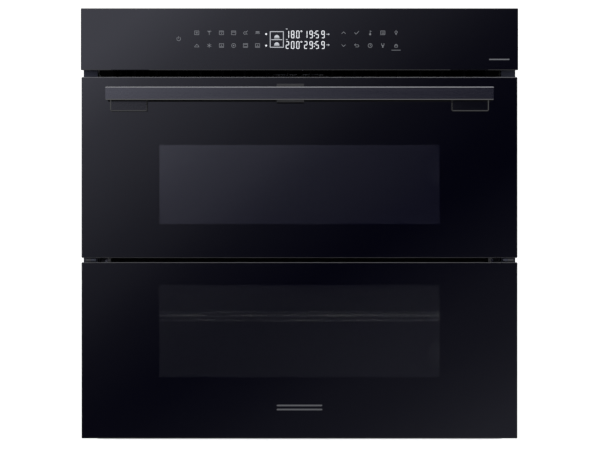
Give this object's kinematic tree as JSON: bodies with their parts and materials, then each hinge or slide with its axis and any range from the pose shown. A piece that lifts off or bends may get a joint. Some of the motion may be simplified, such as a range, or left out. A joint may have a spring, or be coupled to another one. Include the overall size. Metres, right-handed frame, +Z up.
{
  "type": "built-in wall oven",
  "caption": "Built-in electric wall oven with black glass front and a split door that opens whole or by its upper half, over one cavity with a divider.",
  "frame": {"origin": "middle of the base, under the centre of the whole oven's bounding box", "axes": "+Z up, -Y out of the oven's front, +X to the right as seen from the front"},
  "size_m": [0.595, 0.617, 0.5892],
  "materials": {
    "black_glass": "polished, back-painted black",
    "clear_glass": "polished, heat reflecting",
    "black_steel": "satin black enamel paint",
    "dark_handle": "brushed, dark anodised",
    "trim_steel": "satin dark blue-grey",
    "galvanized": "galvanised sheet",
    "enamel": "dark speckled vitreous enamel on steel",
    "chrome_wire": "bright plated wire",
    "stainless": "plain stainless",
    "heater_steel": "oxidised heater sheath",
    "black_plastic": "matt",
    "seal_rubber": "braided glass and silicone, matt",
    "glass_wool": "fibrous blanket",
    "circuit_board": "solder resist",
    "lamp_glass": "frosted"
  },
  "bodies": {
    "cabinet": {"base_plate": "galvanized", "side_panel_left": "galvanized", "side_panel_right": "galvanized", "side_trim_left": "trim_steel", "side_trim_right": "trim_steel", "top_cover": "galvanized", "rear_cover": "galvanized", "front_frame": "black_steel", "door_gasket": "seal_rubber", "hinge_arm_left": "stainless", "hinge_arm_right": "stainless", "cavity": "enamel", "insulation": "glass_wool", "rack_left": "chrome_wire", "rack_right": "chrome_wire", "wire_shelf": "chrome_wire", "divider": "stainless", "baking_tray": "enamel", "grill_element": "heater_steel", "floor_heater": "heater_steel", "fan_baffle": "enamel", "upper_ring_heater": "heater_steel", "lower_ring_heater": "heater_steel", "upper_fan_motor": "stainless", "lower_fan_motor": "stainless", "upper_lamp": "lamp_glass", "lower_lamp": "lamp_glass", "upper_temperature_probe": "stainless", "lower_temperature_probe": "stainless", "blower_housing": "galvanized", "blower_motor": "stainless", "air_duct": "galvanized", "air_outlet": "black_plastic", "control_panel_glass": "black_glass", "panel_carrier": "black_plastic", "touch_board": "circuit_board", "power_board": "circuit_board", "terminal_block": "black_plastic"},
    "lower_door": {"lower_door_glass": "black_glass", "lower_door_frame": "black_steel", "lower_middle_glass": "clear_glass", "lower_inner_glass": "clear_glass", "centre_seal": "seal_rubber", "hinge_casing_left": "galvanized", "hinge_casing_right": "galvanized"},
    "upper_door": {"upper_door_glass": "black_glass", "upper_door_frame": "black_steel", "upper_middle_glass": "clear_glass", "upper_inner_glass": "clear_glass", "middle_hinge_left": "trim_steel", "middle_hinge_right": "trim_steel", "handle_post_left": "dark_handle", "handle_post_right": "dark_handle", "handle_bar": "dark_handle"},
    "handle_lever": {"handle_lever": "black_plastic"},
    "latch_rods": {"latch_rods": "stainless"},
    "upper_fan": {"upper_convection_fan": "stainless"},
    "lower_fan": {"lower_convection_fan": "stainless"},
    "blower_rotor": {"blower_rotor": "black_plastic"}
  },
  "joints": [
    {"name": "whole_door_hinge", "type": "hinge", "parent": "cabinet", "child": "lower_door", "pos_m": [0, -0.2505, 0.019], "axis": [-1, 0, 0], "range_deg": [-90, 0]},
    {"name": "upper_door_hinge", "type": "hinge", "parent": "lower_door", "child": "upper_door", "pos_m": [0, -0.2593, 0.2467], "axis": [1, 0, 0], "range_deg": [0, 90]},
    {"name": "handle_lever_pivot", "type": "hinge", "parent": "upper_door", "child": "handle_lever", "pos_m": [-0.0123, -0.2915, 0.479], "axis": [-1, 0, 0], "range_deg": [0, 12], "stiffness_Nm_per_rad": 0.2},
    {"name": "latch_slide", "type": "slide", "parent": "upper_door", "child": "latch_rods", "axis": [0, 0, 1], "range_m": [0, 0.007]},
    {"name": "upper_fan_spin", "type": "hinge", "parent": "cabinet", "child": "upper_fan", "pos_m": [0, 0.2085, 0.318], "axis": [0, 1, 0], "continuous": true},
    {"name": "lower_fan_spin", "type": "hinge", "parent": "cabinet", "child": "lower_fan", "pos_m": [0, 0.2085, 0.152], "axis": [0, 1, 0], "continuous": true},
    {"name": "blower_spin", "type": "hinge", "parent": "cabinet", "child": "blower_rotor", "pos_m": [0, 0.1685, 0.49], "axis": [0, 0, 1], "continuous": true}
  ],
  "couplings": [
    {"joint": "handle_lever_pivot", "follows": "latch_slide", "rad_per_m": 29.9}
  ]
}
